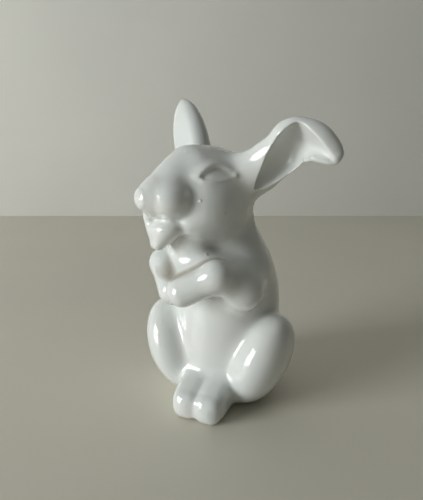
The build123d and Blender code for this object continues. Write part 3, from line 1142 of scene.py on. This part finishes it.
@dataclass
class Skin:
    """The whole rabbit as one smooth surface, cut along its joints into castings."""

    castings: list[Casting]
    plate: BasePlate
    low: Triple = (-50.0, -48.0, -3.0)
    high: Triple = (66.0, 45.0, 132.0)
    grain: float = 0.5
    # Grid points along a block, blocks in a batch, points in a handful, and the largest distance kept
    block: int = 8
    batch: int = 300
    handful: int = 20000
    band: float = 5.0
    # A block is near if the surface is within so many blocks and millimetres of its middle
    near_blocks: float = 1.4
    near_extra: float = 1.0
    # Reach of a measure of slope, the least slope trusted, and the furthest draw of a corner in grains
    probe: float = 0.15
    least_rise: float = 0.25
    most_draw: float = 0.3
    table_blend: float = 1.6
    recess_gap: float = 0.1
    recess_depth: float = 3.2
    # Painted shade in the crease between arms and chest: how far from both, from where forward, how soon as
    # it faces up
    crease_reach: float = 2.8
    crease_ahead: Pair = (8.0, 12.0)
    crease_facing: float = 3.0
    # Bare clay under the foot ring: from which height down, over how far, how soon as it faces down
    bare_level: float = 0.9
    bare_fade: float = 0.6
    bare_facing: Pair = (2.0, 0.4)
    cap_depth: float = 1.2
    # The inner bend of the swept ear in the skull's space, and how it is rubbed smooth
    rubbed_spot: Triple = (36.5, -19.5, 12.5)
    rubbed_reach: float = 9.0
    rubbed_fade: float = 2.0
    rubbed_rounds: int = 30
    rubbed_pulls: Pair = (0.60, -0.40)

    def measure(self, points: Array) -> tuple[Array, Array]:
        """Measures the distance to the whole rabbit and to each casting alone.

        Args:
            points: Where to measure, in millimetres.

        Returns:
            The joined distances, and a column of distances for each casting.
        """
        whole = np.full(len(points), VAST, np.float32)
        alone = np.empty((len(points), len(self.castings)), np.float32)
        for i, casting in enumerate(self.castings):
            whole, alone[:, i] = casting.join(whole, points)
        whole = soft_cut(whole, -points[:, 2], self.table_blend)
        across = (points[:, 0] - self.plate.middle[0]).astype(np.float32)
        along = (points[:, 1] - self.plate.middle[1]).astype(np.float32)
        half = [np.full(len(points), h + self.recess_gap, np.float32) for h in self.plate.half]
        recess = np.maximum(section(across, along, half[0], half[1]), points[:, 2] - self.recess_depth)
        return np.maximum(whole, -recess), alone

    def spread(self, task: Callable[[Array], Array], points: Array, size: int) -> Array:
        """Runs a measuring task over many points, a batch at a time.

        Args:
            task: What is done with a batch of points.
            points: All the points.
            size: Points in a batch.

        Returns:
            The results in the points' order.
        """
        batches = [points[i:i + size] for i in range(0, len(points), size)]
        with ThreadPoolExecutor(WORKERS) as painted_shade:
            return np.concatenate(list(painted_shade.map(task, batches)))

    def depths(self, points: Array) -> Array:
        """Measures the distance from many points to the whole rabbit."""
        return self.spread(lambda batch: self.measure(batch)[0], points, self.handful)

    def polygons(self) -> tuple[Array, Array]:
        """Finds the surface on a fine grid.

        Returns:
            Corners in millimetres, and triangles as corner numbers.
        """
        low, high = np.array(self.low), np.array(self.high)
        step = self.grain * self.block
        counts = np.ceil((high - low) / step).astype(int)
        ticks = [low[i] + step * np.arange(counts[i]) + self.grain * (self.block - 1) / 2 for i in range(3)]
        centres = lattice(ticks)
        at_centres = self.depths(centres)
        volume = np.empty(counts.tolist() + [self.block] * 3, np.float32)
        cells = volume.reshape(-1, self.block, self.block, self.block)
        cells[:] = np.clip(at_centres, -self.band, self.band)[:, None, None, None]
        near = np.where(np.abs(at_centres) < step * self.near_blocks + self.near_extra)[0]
        offsets = lattice([self.grain * (np.arange(self.block) - (self.block - 1) / 2)] * 3)

        def fill(ids: Array) -> Array:
            """Measures every grid point of some blocks."""
            points = (centres[ids][:, None, :] + offsets[None]).reshape(-1, 3)
            return self.measure(points)[0].reshape(-1, self.block, self.block, self.block)

        cells[near] = self.spread(fill, near, self.batch)
        volume = volume.transpose(0, 3, 1, 4, 2, 5).reshape(counts * self.block)
        grid = openvdb.FloatGrid(background=self.band)
        grid.copyFromArray(np.ascontiguousarray(volume))
        corners, _, quads = grid.convertToPolygons(isovalue=0.0, adaptivity=0.0)
        corners = corners * self.grain + low
        quads = quads.astype(np.int64)
        first = length(corners[quads[:, 0]] - corners[quads[:, 2]])
        second = length(corners[quads[:, 1]] - corners[quads[:, 3]])
        straight = (first <= second)[:, None]
        one = np.where(straight, quads[:, [0, 1, 2]], quads[:, [0, 1, 3]])
        two = np.where(straight, quads[:, [0, 2, 3]], quads[:, [1, 2, 3]])
        return corners.astype(np.float32), np.concatenate([one, two])

    def slope(self, points: Array) -> Array:
        """Measures which way the surface faces, as the steepest rise of the distance.

        Args:
            points: Points on or near the surface.

        Returns:
            One vector for each point.
        """
        parts = []
        for axis in np.eye(3, dtype=np.float32) * np.float32(self.probe):
            rise = self.depths(points + axis) - self.depths(points - axis)
            parts.append(rise / (2 * self.probe))
        return np.stack(parts, 1)

    def rub(self, corners: Array, faces: Array) -> tuple[Array, Array]:
        """Rubs the tight inner bend of the swept ear smooth, without wearing it away.

        Args:
            corners: Corners of the skin in millimetres.
            faces: Triangles as corner numbers.

        Returns:
            The corners, and how much each one was rubbed, from 0 to 1.
        """
        away = length(SKULL.enter(corners) - row(*self.rubbed_spot)) / self.rubbed_reach
        share = np.clip(self.rubbed_fade * (1.0 - away), 0.0, 1.0)
        edges = edges_of(faces)
        edges = edges[share[edges[:, 0]] > 0]
        count = np.maximum(np.bincount(edges[:, 0], minlength=len(corners)), 1)
        for pull in self.rubbed_pulls * self.rubbed_rounds:
            sums = [np.bincount(edges[:, 0], corners[edges[:, 1], i], len(corners)) for i in range(3)]
            middle = np.stack(sums, 1) / count[:, None]
            corners = (corners + pull * share[:, None] * (middle - corners)).astype(np.float32)
        return corners, share

    def facing(self, corners: Array, faces: Array, normal: Array, share: Array) -> Array:
        """Takes the facing of the rubbed corners from their triangles.

        Args:
            corners: Corners of the skin in millimetres.
            faces: Triangles as corner numbers.
            normal: Facing of each corner on the true form.
            share: How much each corner was rubbed.

        Returns:
            The facing of each corner.
        """
        own = faces[share[faces].max(1) > 0]
        first, second, third = (corners[own[:, i]] for i in range(3))
        flat = np.cross(second - first, third - first)
        total = np.zeros_like(normal)
        for i in range(3):
            np.add.at(total, own[:, i], flat)
        total = unit(total * np.sign((total * normal).sum()))
        return unit(normal + share[:, None] * (total - normal))

    def sculpt(self) -> Patch:
        """Finds the surface, draws its corners onto the true form and measures what the glaze needs.

        Returns:
            The whole skin as one patch.
        """
        corners, faces = self.polygons()
        rise = self.slope(corners)
        steepness = np.maximum((rise * rise).sum(-1), self.least_rise)
        most = self.most_draw * self.grain
        corners = corners - np.clip(self.depths(corners)[:, None] * rise / steepness[:, None], -most, most)
        corners, rubbed = self.rub(corners, faces)
        normal = self.facing(corners, faces, unit(self.slope(corners)), rubbed)
        alone = self.spread(lambda batch: self.measure(batch)[1], corners, self.handful)
        # Painted shade: a mask that darkens the glaze brown in the crease between arms and chest
        apart = np.zeros(len(corners), np.float32)
        for kind in (Arm, Torso):
            own = [i for i, casting in enumerate(self.castings) if isinstance(casting, kind)]
            apart = apart + np.maximum(alone[:, own].min(1), 0.0)
        crease_shade = np.clip(1.0 - apart / self.crease_reach, 0.0, 1.0)
        crease_shade = crease_shade * np.clip(self.crease_facing * normal[:, 2], 0.0, 1.0)
        crease_shade = crease_shade * np.interp(CHEST.enter(corners)[:, 1], self.crease_ahead, (0.0, 1.0))
        rate, lost = self.bare_facing
        bare = np.clip((self.bare_level - corners[:, 2]) / self.bare_fade, 0.0, 1.0)
        bare = bare * np.clip(-normal[:, 2] * rate - lost, 0.0, 1.0)
        facts = {"normal": normal, "alone": alone, "crease_shade": crease_shade, "bare": bare}
        return Patch(corners, faces, facts)

    def split(self) -> Iterator[tuple[Casting, Patch]]:
        """Cuts the skin into one patch for each casting, along smooth lines in the joints.

        Returns:
            Each casting with its closed patch.
        """
        rest = self.sculpt()
        for i, casting in enumerate(self.castings[:-1]):
            alone = rest.facts["alone"]
            mine, rest = rest.cut(alone[:, i] - alone[:, i + 1:].min(1))
            yield casting, mine.closed(self.cap_depth)
        yield self.castings[-1], rest.kept(rest.faces).closed(self.cap_depth)


class Board:
    """The node tree of a material or a world, with short ways to add nodes to it."""

    def __init__(self, owner: bpy.types.Material | bpy.types.World) -> None:
        """Starts on the tree of a new material or world.

        Args:
            owner: What the tree belongs to.
        """
        owner.use_nodes = True
        self.owner = owner
        self.tree = owner.node_tree
        self.place = self.add("ShaderNodeTexCoord", {}).outputs

    def add(self, kind: str, sockets: Sockets, **settings: object) -> bpy.types.Node:
        """Adds a node.

        Args:
            kind: Blender's name of the node.
            sockets: Values or other nodes' outputs for its inputs, by name or number.
            settings: The node's own settings.

        Returns:
            The new node.
        """
        node = self.tree.nodes.new(kind)
        for name, value in settings.items():
            setattr(node, name, value)
        self.feed(node, sockets)
        return node

    def feed(self, node: bpy.types.Node, sockets: Sockets) -> None:
        """Sets or links inputs of a node.

        Args:
            node: The node.
            sockets: Values or other nodes' outputs, by the input's name or number.
        """
        for name, value in sockets.items():
            if isinstance(value, Socket):
                self.tree.links.new(value, node.inputs[name])
            else:
                node.inputs[name].default_value = value

    def ramp(self, value: Socket, span: Pair, to: Pair = (0.0, 1.0)) -> Socket:
        """Maps a span of a value onto another, clamped."""
        sockets = {0: value, 1: span[0], 2: span[1], 3: to[0], 4: to[1]}
        return self.add("ShaderNodeMapRange", sockets, clamp=True).outputs[0]

    def mix(self, share: object, first: object, second: object) -> Socket:
        """Mixes two colours, given as values or sockets, by the share of the second."""
        return self.add("ShaderNodeMix", {0: share, 6: first, 7: second}, data_type="RGBA").outputs[2]

    def times(self, first: object, second: object) -> Socket:
        """Multiplies two values or sockets."""
        return self.add("ShaderNodeMath", {0: first, 1: second}, operation="MULTIPLY").outputs[0]

    def noise(self, kind: Pair) -> Socket:
        """Adds a noise of some scale and detail that is fixed to the object."""
        sockets = {"Vector": self.place["Object"], "Scale": kind[0], "Detail": kind[1]}
        return self.add("ShaderNodeTexNoise", sockets).outputs["Fac"]

    def bump(self, *layers: tuple[Socket, Pair]) -> Socket:
        """Lays bumps over each other.

        Args:
            layers: The height of each, with its strength and its depth in metres.

        Returns:
            The bent normal's socket.
        """
        under = {}
        for height, (strength, depth) in layers:
            sockets = {"Strength": strength, "Distance": depth, "Height": height, **under}
            under = {"Normal": self.add("ShaderNodeBump", sockets).outputs[0]}
        return under["Normal"]

    def paint(self, **sockets: object) -> bpy.types.Node:
        """Sets the main shader of a material.

        Args:
            sockets: Values or sockets, by the input's name with a low line for a space.

        Returns:
            The shader.
        """
        shader = self.tree.nodes["Principled BSDF"]
        self.feed(shader, {name.replace("_", " "): value for name, value in sockets.items()})
        return shader


def colour(red: float, green: float, blue: float) -> Colour:
    """Returns an opaque colour."""
    return (red, green, blue, 1.0)


@dataclass(frozen=True)
class Glaze:
    """Clear glossy glaze over white porcelain, with dark brown painted shade in the creases, pinholes, and
    pale specks painted as glints.
    """

    white: Colour = colour(0.80, 0.81, 0.79)
    cool: Colour = colour(0.77, 0.80, 0.79)
    # Dark brown colour painted as shade in the crease between arms and chest
    painted_crease_shade: Colour = colour(0.27, 0.21, 0.13)
    clay: Colour = colour(0.66, 0.61, 0.53)
    # Pale colour painted as glints of the light on tiny bumps in the glaze
    painted_glint: Colour = colour(0.92, 0.92, 0.90)
    roughness: Pair = (0.10, 0.20)
    bare_roughness: float = 0.6
    coat: float = 0.6
    coat_roughness: float = 0.03
    index: float = 1.5
    # Scale and detail of the noises, and scale of the dots
    cloud: Pair = (45.0, 3.0)
    shade_mottle: Pair = (160.0, 4.0)
    wave: Pair = (95.0, 1.0)
    peel: Pair = (420.0, 1.0)
    dots: float = 210.0
    # Spans of a noise or of the crease over which a look comes in
    cool_span: Pair = (0.35, 0.65)
    gloss_span: Pair = (0.3, 0.7)
    crease_span: Pair = (0.25, 0.75)
    # The noise that mottles the painted crease shade, and how far the painted shade darkens the white
    shade_mottle_span: Pair = (0.30, 0.70)
    shade_mottle_share: Pair = (0.6, 1.0)
    painted_crease_shade_share: float = 0.85
    # Chance and size of the painted glints and of the pits
    glint_chance: Pair = (0.955, 0.965)
    glint_size: Pair = (0.14, 0.07)
    glint_share: float = 0.8
    pit_chance: Pair = (0.88, 0.89)
    pit_size: Pair = (0.17, 0.06)
    # Strength, and depth in metres, of the bumps
    wave_bump: Pair = (0.10, 0.0016)
    peel_bump: Pair = (0.05, 0.0004)
    pit_bump: Pair = (0.8, 0.0003)

    def material(self) -> bpy.types.Material:
        """Builds the glaze.

        Returns:
            The material.
        """
        board = Board(bpy.data.materials.new("porcelain_glaze"))
        crease_shade, bare = (
            board.add("ShaderNodeAttribute", {}, attribute_name=name).outputs["Fac"]
            for name in ("crease_shade", "bare")
        )
        cloud = board.noise(self.cloud)
        body = board.mix(board.ramp(cloud, self.cool_span), self.white, self.cool)
        # Painted shade: the glaze turns dark brown in the crease between arms and chest, mottled by a noise
        shade_mottle = board.ramp(board.noise(self.shade_mottle), self.shade_mottle_span, self.shade_mottle_share)
        painted_shade = board.times(board.ramp(crease_shade, self.crease_span), shade_mottle)
        body = board.mix(board.times(painted_shade, self.painted_crease_shade_share), body, self.painted_crease_shade)
        dots = board.add("ShaderNodeTexVoronoi", {
            "Vector": board.place["Object"], "Scale": self.dots, "Randomness": 1.0,
        }).outputs
        chance = board.add("ShaderNodeSeparateColor", {0: dots["Color"]}).outputs
        # Painted glints: a few pale dots laid into the colour
        few = board.ramp(chance[0], self.glint_chance)
        painted_glint = board.times(board.ramp(dots["Distance"], self.glint_size), few)
        body = board.mix(board.times(painted_glint, self.glint_share), body, self.painted_glint)
        few = board.ramp(chance[1], self.pit_chance)
        pit = board.times(board.ramp(dots["Distance"], self.pit_size), few)
        gloss = board.ramp(cloud, self.gloss_span, self.roughness)
        dull = board.times(bare, self.bare_roughness)
        wave, peel = board.noise(self.wave), board.noise(self.peel)
        board.paint(
            Base_Color=board.mix(bare, body, self.clay),
            Roughness=board.add("ShaderNodeMath", {0: gloss, 1: dull}, operation="ADD").outputs[0],
            Normal=board.bump((wave, self.wave_bump), (peel, self.peel_bump), (pit, self.pit_bump)),
            IOR=self.index,
            Coat_Weight=self.coat,
            Coat_Roughness=self.coat_roughness,
        )
        return board.owner


@dataclass(frozen=True)
class BareClay:
    """Unglazed, matt porcelain with fine grit and a dusty tone."""

    light: Colour = colour(0.70, 0.66, 0.58)
    dark: Colour = colour(0.52, 0.47, 0.39)
    grit: Colour = colour(0.32, 0.28, 0.23)
    roughness: Pair = (0.75, 0.92)
    # Scale and detail of the noises, spans over which a look comes in, strength and depth of the grit
    dust: Pair = (120.0, 5.0)
    fine: Pair = (2600.0, 2.0)
    dust_span: Pair = (0.35, 0.7)
    dull_span: Pair = (0.3, 0.7)
    grit_span: Pair = (0.68, 0.76)
    grit_share: Pair = (0.0, 0.6)
    grit_bump: Pair = (0.4, 0.0002)

    def material(self) -> bpy.types.Material:
        """Builds the bare clay.

        Returns:
            The material.
        """
        board = Board(bpy.data.materials.new("bare_clay"))
        dust, fine = board.noise(self.dust), board.noise(self.fine)
        body = board.mix(board.ramp(dust, self.dust_span), self.light, self.dark)
        board.paint(
            Base_Color=board.mix(board.ramp(fine, self.grit_span, self.grit_share), body, self.grit),
            Roughness=board.ramp(dust, self.dull_span, self.roughness),
            Normal=board.bump((fine, self.grit_bump)),
        )
        return board.owner


@dataclass(frozen=True)
class StagePaint:
    """Plain matt paint for the floor and the backdrop, clear from behind."""

    name: str
    tone: Colour
    roughness: float
    cloud: Pair = (6.0, 3.0)
    cloud_span: Pair = (0.3, 0.7)
    shade: float = 0.95

    def material(self) -> bpy.types.Material:
        """Builds the paint.

        Returns:
            The material.
        """
        board = Board(bpy.data.materials.new(self.name))
        darker = colour(*(self.shade * part for part in self.tone[:3]))
        cloud = board.ramp(board.noise(self.cloud), self.cloud_span)
        shader = board.paint(Base_Color=board.mix(cloud, self.tone, darker), Roughness=self.roughness)
        clear = board.add("ShaderNodeBsdfTransparent", {})
        back = board.add("ShaderNodeNewGeometry", {}).outputs["Backfacing"]
        choice = board.add("ShaderNodeMixShader", {0: back, 1: shader.outputs[0], 2: clear.outputs[0]})
        board.feed(board.tree.nodes["Material Output"], {"Surface": choice.outputs[0]})
        return board.owner


@dataclass(frozen=True)
class Lamp:
    """A soft lamp, its place given by the camera's right, forward and up in millimetres."""

    name: str
    place: Triple
    # Width and height in metres
    size: Pair
    watts: float
    tint: Triple


@dataclass
class Studio:
    """Pale floor, plain backdrop, window-like light from the left and the camera."""

    # The camera in degrees, millimetres from the frame's middle, and pixels
    azimuth: float = 24.0
    pitch: float = 15.0
    side_step: float = 6.0
    distance: float = 167.0
    height: float = 106.0
    focal_pixels: float = 424.0
    image_height: int = 500
    sensor: float = 36.0
    nearest: float = 0.005
    # The stage in millimetres
    wall_gap: float = 410.0
    wall_height: float = 1200.0
    far: float = 1600.0
    floor: StagePaint = StagePaint("pale_floor", colour(0.78, 0.745, 0.645), 0.45)
    wall: StagePaint = StagePaint("pale_wall", colour(0.72, 0.71, 0.665), 0.8)
    # The room's light from the left and from the right, and where between them it changes
    lit_side: Colour = colour(0.20, 0.21, 0.205)
    dark_side: Colour = colour(0.048, 0.048, 0.039)
    dark_span: Pair = (-0.7, 0.5)
    lamps: tuple[Lamp, ...] = (
        Lamp("window_near", (-840, -530, 130), (0.20, 0.70), 4.9, (0.97, 1.0, 0.99)),
        Lamp("window_far", (-840, -300, 130), (0.20, 0.70), 4.9, (0.97, 1.0, 0.99)),
        Lamp("ceiling", (250, 0, 900), (0.9, 0.9), 0.5, (1.0, 0.99, 0.96)),
    )
    # In metres
    lamp_aim: Triple = (0.0, 0.0, 0.06)

    def __post_init__(self) -> None:
        """Works the camera's right and forward out."""
        angle = math.radians(self.azimuth)
        self.right = Vector((math.cos(angle), math.sin(angle), 0))
        self.ahead = Vector((-math.sin(angle), math.cos(angle), 0))

    def spot(self, right: float, ahead: float, up: float) -> Vector:
        """Returns a place in metres from the camera's right, forward and up in millimetres."""
        return (self.right * right + self.ahead * ahead + Vector((0, 0, up))) * MILLIMETRE

    def camera(self) -> None:
        """Sets the camera where the photographer stood."""
        lens = bpy.data.cameras.new("viewpoint")
        lens.sensor_width = self.sensor
        lens.lens = self.sensor * self.focal_pixels / self.image_height
        lens.clip_start = self.nearest
        eye = set_down("viewpoint", lens)
        eye.location = self.spot(-self.side_step, -self.distance, self.height)
        tilt = math.radians(self.pitch)
        gaze = self.ahead * math.cos(tilt) + Vector((0, 0, -math.sin(tilt)))
        eye.rotation_euler = gaze.to_track_quat("-Z", "Y").to_euler()
        bpy.context.scene.camera = eye

    def sheet(self, name: str, corners: list[Vector], paint: StagePaint) -> None:
        """Adds one flat sheet of the stage.

        Args:
            name: The sheet's name.
            corners: Its four corners.
            paint: Its paint.
        """
        mesh = bpy.data.meshes.new(name)
        mesh.from_pydata([tuple(c) for c in corners], [], [(0, 1, 2, 3)])
        mesh.materials.append(paint.material())
        item = set_down(name, mesh)

    def stage(self) -> None:
        """Lays the floor and sets the backdrop."""
        far, gap, high = self.far, self.wall_gap, self.wall_height
        floor = [self.spot(x, y, 0) for x, y in ((-far, -far), (far, -far), (far, far), (-far, far))]
        self.sheet("floor", floor, self.floor)
        wall = [self.spot(x, gap, z) for x, z in ((-far, 0), (far, 0), (far, high), (-far, high))]
        self.sheet("backdrop", wall, self.wall)

    def hang(self, lamp: Lamp) -> None:
        """Adds one soft lamp that faces the rabbit.

        Args:
            lamp: The lamp.
        """
        light = bpy.data.lights.new(lamp.name, "AREA")
        light.shape = "RECTANGLE"
        light.size, light.size_y = lamp.size
        light.energy = lamp.watts
        light.color = lamp.tint
        item = set_down(lamp.name, light)
        item.location = self.spot(*lamp.place)
        gaze = Vector(self.lamp_aim) - self.spot(*lamp.place)
        item.rotation_euler = gaze.to_track_quat("-Z", "Y").to_euler()

    def light(self) -> None:
        """Lights the stage like a room with one window on the left."""
        board = Board(bpy.data.worlds.new("room"))
        bpy.context.scene.world = board.owner
        sockets = {0: board.place["Generated"], 1: self.right}
        facing = board.add("ShaderNodeVectorMath", sockets, operation="DOT_PRODUCT").outputs["Value"]
        sockets = {0: facing, 1: self.dark_span[0], 2: self.dark_span[1]}
        share = board.add("ShaderNodeMapRange", sockets, interpolation_type="SMOOTHSTEP").outputs[0]
        tone = board.mix(share, self.lit_side, self.dark_side)
        board.feed(board.tree.nodes["Background"], {"Color": tone})
        for lamp in self.lamps:
            self.hang(lamp)
        bpy.context.scene.view_settings.view_transform = "Standard"


def rabbit_castings() -> list[Casting]:
    """Lists the castings in the order in which they are joined.

    Returns:
        The castings.
    """
    return [
        Torso(),
        Head(),
        Jaw(),
        UprightEar(),
        SweptEar(),
        Haunch("right_haunch", ((-21.0, -5.0, 19.0), 22.0), Side.RIGHT),
        Haunch(),
        Foot("right_foot", ((-6.5, -20.0, 7.0), 18.0), Side.RIGHT),
        Foot(),
        Arm(
            "right_arm", ((-14.0, -10.0, 54.0), 30.0), Side.RIGHT,
            wrist=(0.261, 0.555, 0.672), paw=(0.045, 0.665, 0.582),
        ),
        Arm(),
        Tail(),
    ]


def main() -> None:
    """Builds the rabbit, its base and the studio, and reports each piece."""
    logging.basicConfig(level=logging.INFO, format="%(name)s: %(message)s")
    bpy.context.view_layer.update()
    studio = Studio()
    studio.camera()
    studio.stage()
    studio.light()
    plate = BasePlate()
    disc = plate.build()
    plate.dress(disc, BareClay().material())
    log.info("%s: %d faces", disc.name, len(disc.data.polygons))
    skin = Skin(rabbit_castings(), plate)
    glaze = Glaze().material()
    for casting, patch in skin.split():
        piece = casting.build(patch)
        casting.dress(piece, glaze)
        log.info("%s: %d faces", piece.name, len(piece.data.polygons))


if __name__ == "__main__":
    main()
